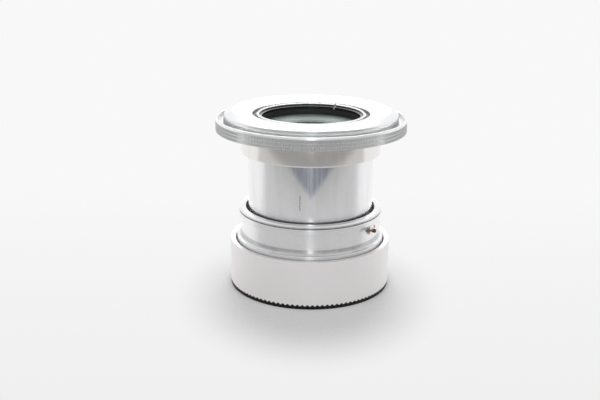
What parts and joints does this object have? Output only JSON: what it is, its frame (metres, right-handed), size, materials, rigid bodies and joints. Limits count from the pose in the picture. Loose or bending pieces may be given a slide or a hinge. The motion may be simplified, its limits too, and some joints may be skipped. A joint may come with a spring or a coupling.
{
  "type": "enlarger lens",
  "caption": "Small collapsible all-metal lens with knurled front rim, aperture ring and iris, standing front up in a round bayonet drum.",
  "frame": {"origin": "centre of the foot's underside, on the lens axis", "axes": "+Z along the lens axis towards the front glass; -Y is the front of the drum"},
  "size_m": [0.0476, 0.0476, 0.0451],
  "materials": {
    "satin_aluminium": "fine satin, bead-blasted and anodised",
    "bright_metal": "turned and polished, nickel-plated",
    "turned_aluminium": "turned, bright",
    "black_plastic": "moulded",
    "black_enamel": "gloss enamel",
    "black_anodised": "matt black",
    "spring_steel": "blued",
    "felt": "pressed felt",
    "brass": "turned",
    "steel": "turned",
    "catch_bronze": "browned bronze",
    "red_enamel": "enamel fill",
    "white_enamel": "enamel fill",
    "optical_glass": "polished and uncoated"
  },
  "bodies": {
    "drum_base": {"foot": "black_plastic", "drum": "satin_aluminium", "stop_pin": "steel"},
    "spring": {"spring_ring": "spring_steel"},
    "mount": {"mount_barrel": "bright_metal", "rear_bayonet": "bright_metal", "felt_lining": "felt", "lining_nut": "bright_metal", "index_block": "bright_metal", "index_dot": "red_enamel", "catch_screw": "catch_bronze"},
    "catch": {"catch_lever": "catch_bronze"},
    "grip": {"grip_ring": "spring_steel"},
    "lens_head": {"tube": "bright_metal", "stop_ring": "brass", "collar": "turned_aluminium", "rim_ring": "turned_aluminium", "front_disc": "turned_aluminium", "lens_block": "black_anodised", "flange_screws": "steel", "iris_plate": "brass", "iris_clip": "spring_steel", "front_cell": "black_anodised", "second_element": "optical_glass", "spacer_ring": "black_anodised", "front_element": "optical_glass", "name_ring": "black_enamel", "rear_cell": "black_anodised", "rear_doublet_front": "optical_glass", "rear_doublet_back": "optical_glass", "rear_nut": "black_anodised"},
    "aperture": {"aperture_ring": "turned_aluminium", "index_mark": "white_enamel", "link_screw": "steel", "drive_ring": "brass"},
    "blade_1": {"iris_blade_1": "spring_steel"},
    "blade_2": {"iris_blade_2": "spring_steel"},
    "blade_3": {"iris_blade_3": "spring_steel"},
    "blade_4": {"iris_blade_4": "spring_steel"},
    "blade_5": {"iris_blade_5": "spring_steel"},
    "blade_6": {"iris_blade_6": "spring_steel"},
    "blade_7": {"iris_blade_7": "spring_steel"},
    "blade_8": {"iris_blade_8": "spring_steel"}
  },
  "joints": [
    {"name": "bayonet_turn", "type": "hinge", "parent": "drum_base", "child": "spring", "pos_m": [0, 0, 0.00468], "axis": [0, 0, 1], "range_deg": [0, 55]},
    {"name": "lift_off", "type": "slide", "parent": "spring", "child": "mount", "axis": [0, 0, 1], "range_m": [0, 0.025]},
    {"name": "catch_turn", "type": "hinge", "parent": "mount", "child": "catch", "pos_m": [0.01578, -0.00929, 0.0165], "axis": [0.8616, -0.5075, 0], "range_deg": [0, 20]},
    {"name": "tube_turn", "type": "hinge", "parent": "mount", "child": "grip", "pos_m": [0, 0, 0.017], "axis": [0, 0, 1], "range_deg": [0, 30]},
    {"name": "tube_slide", "type": "slide", "parent": "grip", "child": "lens_head", "axis": [0, 0, 1], "range_m": [-0.014, 0]},
    {"name": "aperture_turn", "type": "hinge", "parent": "lens_head", "child": "aperture", "pos_m": [0, 0, 0.045], "axis": [0, 0, 1], "range_deg": [0, 42]},
    {"name": "blade_1_turn", "type": "hinge", "parent": "lens_head", "child": "blade_1", "pos_m": [0.01128, 0, 0.0325], "axis": [0, 0, 1], "range_deg": [0, 29.1]},
    {"name": "blade_2_turn", "type": "hinge", "parent": "lens_head", "child": "blade_2", "pos_m": [0.00798, 0.00798, 0.0325], "axis": [0, 0, 1], "range_deg": [0, 29.1]},
    {"name": "blade_3_turn", "type": "hinge", "parent": "lens_head", "child": "blade_3", "pos_m": [0, 0.01128, 0.0325], "axis": [0, 0, 1], "range_deg": [0, 29.1]},
    {"name": "blade_4_turn", "type": "hinge", "parent": "lens_head", "child": "blade_4", "pos_m": [-0.00798, 0.00798, 0.0325], "axis": [0, 0, 1], "range_deg": [0, 29.1]},
    {"name": "blade_5_turn", "type": "hinge", "parent": "lens_head", "child": "blade_5", "pos_m": [-0.01128, 0, 0.0325], "axis": [0, 0, 1], "range_deg": [0, 29.1]},
    {"name": "blade_6_turn", "type": "hinge", "parent": "lens_head", "child": "blade_6", "pos_m": [-0.00798, -0.00798, 0.0325], "axis": [0, 0, 1], "range_deg": [0, 29.1]},
    {"name": "blade_7_turn", "type": "hinge", "parent": "lens_head", "child": "blade_7", "pos_m": [0, -0.01128, 0.0325], "axis": [0, 0, 1], "range_deg": [0, 29.1]},
    {"name": "blade_8_turn", "type": "hinge", "parent": "lens_head", "child": "blade_8", "pos_m": [0.00798, -0.00798, 0.0325], "axis": [0, 0, 1], "range_deg": [0, 29.1]}
  ],
  "couplings": [
    {"joint": "blade_1_turn", "follows": "aperture_turn", "ratio": 0.69048},
    {"joint": "blade_2_turn", "follows": "aperture_turn", "ratio": 0.69048},
    {"joint": "blade_3_turn", "follows": "aperture_turn", "ratio": 0.69048},
    {"joint": "blade_4_turn", "follows": "aperture_turn", "ratio": 0.69048},
    {"joint": "blade_5_turn", "follows": "aperture_turn", "ratio": 0.69048},
    {"joint": "blade_6_turn", "follows": "aperture_turn", "ratio": 0.69048},
    {"joint": "blade_7_turn", "follows": "aperture_turn", "ratio": 0.69048},
    {"joint": "blade_8_turn", "follows": "aperture_turn", "ratio": 0.69048}
  ]
}
